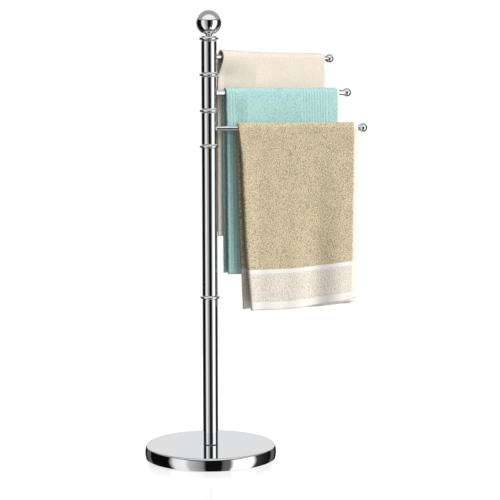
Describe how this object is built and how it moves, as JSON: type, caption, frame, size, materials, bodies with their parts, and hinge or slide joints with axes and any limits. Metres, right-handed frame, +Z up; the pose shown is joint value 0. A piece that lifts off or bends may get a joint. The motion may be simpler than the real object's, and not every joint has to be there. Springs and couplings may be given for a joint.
{
  "type": "swivel-arm towel stand",
  "caption": "Free-standing chrome towel stand: round weighted base, ringed column with a ball finial, and swivel arms with folded terry towels hung over them.",
  "frame": {"origin": "on the floor under the column's axis, at the middle of the base's underside", "axes": "+Z up the column; +X to the side that the arms reach out to; +Y to the back, where the higher arms are swung"},
  "size_m": [0.4764, 0.3464, 0.9445],
  "materials": {
    "chrome": "polished",
    "zinc_steel": "satin",
    "cast_iron": "matte",
    "pad_foam": "matte",
    "nylon": "satin",
    "cream_terry": "matte",
    "aqua_terry": "matte",
    "khaki_terry": "matte"
  },
  "bodies": {
    "stand": {"base_shell": "chrome", "base_pad": "pad_foam", "base_weight": "cast_iron", "base_bolt": "zinc_steel", "base_washer": "zinc_steel", "column_gasket": "pad_foam", "column_foot_plug": "zinc_steel", "lower_tube": "chrome", "tube_coupler": "zinc_steel", "joint_ring": "chrome", "upper_tube": "chrome", "spindle_socket_lower": "zinc_steel", "spindle_socket_upper": "zinc_steel", "spindle": "zinc_steel", "support_ring": "chrome", "spacer_ring_lower": "chrome", "spacer_ring_upper": "chrome", "top_collar": "chrome", "wave_washer": "zinc_steel", "spindle_plug": "zinc_steel", "finial_cap": "chrome", "finial_ball": "chrome", "finial_nut": "zinc_steel", "finial_stud": "zinc_steel"},
    "upper_arm": {"upper_sleeve": "chrome", "upper_bush_bottom": "nylon", "upper_bush_top": "nylon", "upper_screw": "zinc_steel", "upper_insert": "zinc_steel", "upper_rod": "chrome", "upper_tip": "chrome", "upper_towel": "cream_terry"},
    "middle_arm": {"middle_sleeve": "chrome", "middle_bush_bottom": "nylon", "middle_bush_top": "nylon", "middle_screw": "zinc_steel", "middle_insert": "zinc_steel", "middle_rod": "chrome", "middle_tip": "chrome", "middle_towel": "aqua_terry"},
    "lower_arm": {"lower_sleeve": "chrome", "lower_bush_bottom": "nylon", "lower_bush_top": "nylon", "lower_screw": "zinc_steel", "lower_insert": "zinc_steel", "lower_rod": "chrome", "lower_tip": "chrome", "lower_towel": "khaki_terry"}
  },
  "joints": [
    {"name": "upper_arm_swing", "type": "hinge", "parent": "stand", "child": "upper_arm", "pos_m": [0, 0, 0.8478], "axis": [0, 0, 1], "continuous": true, "deforming": ["upper_towel"]},
    {"name": "middle_arm_swing", "type": "hinge", "parent": "stand", "child": "middle_arm", "pos_m": [0, 0, 0.7732], "axis": [0, 0, 1], "continuous": true, "deforming": ["middle_towel"]},
    {"name": "lower_arm_swing", "type": "hinge", "parent": "stand", "child": "lower_arm", "pos_m": [0, 0, 0.6986], "axis": [0, 0, 1], "continuous": true, "deforming": ["lower_towel"]}
  ]
}
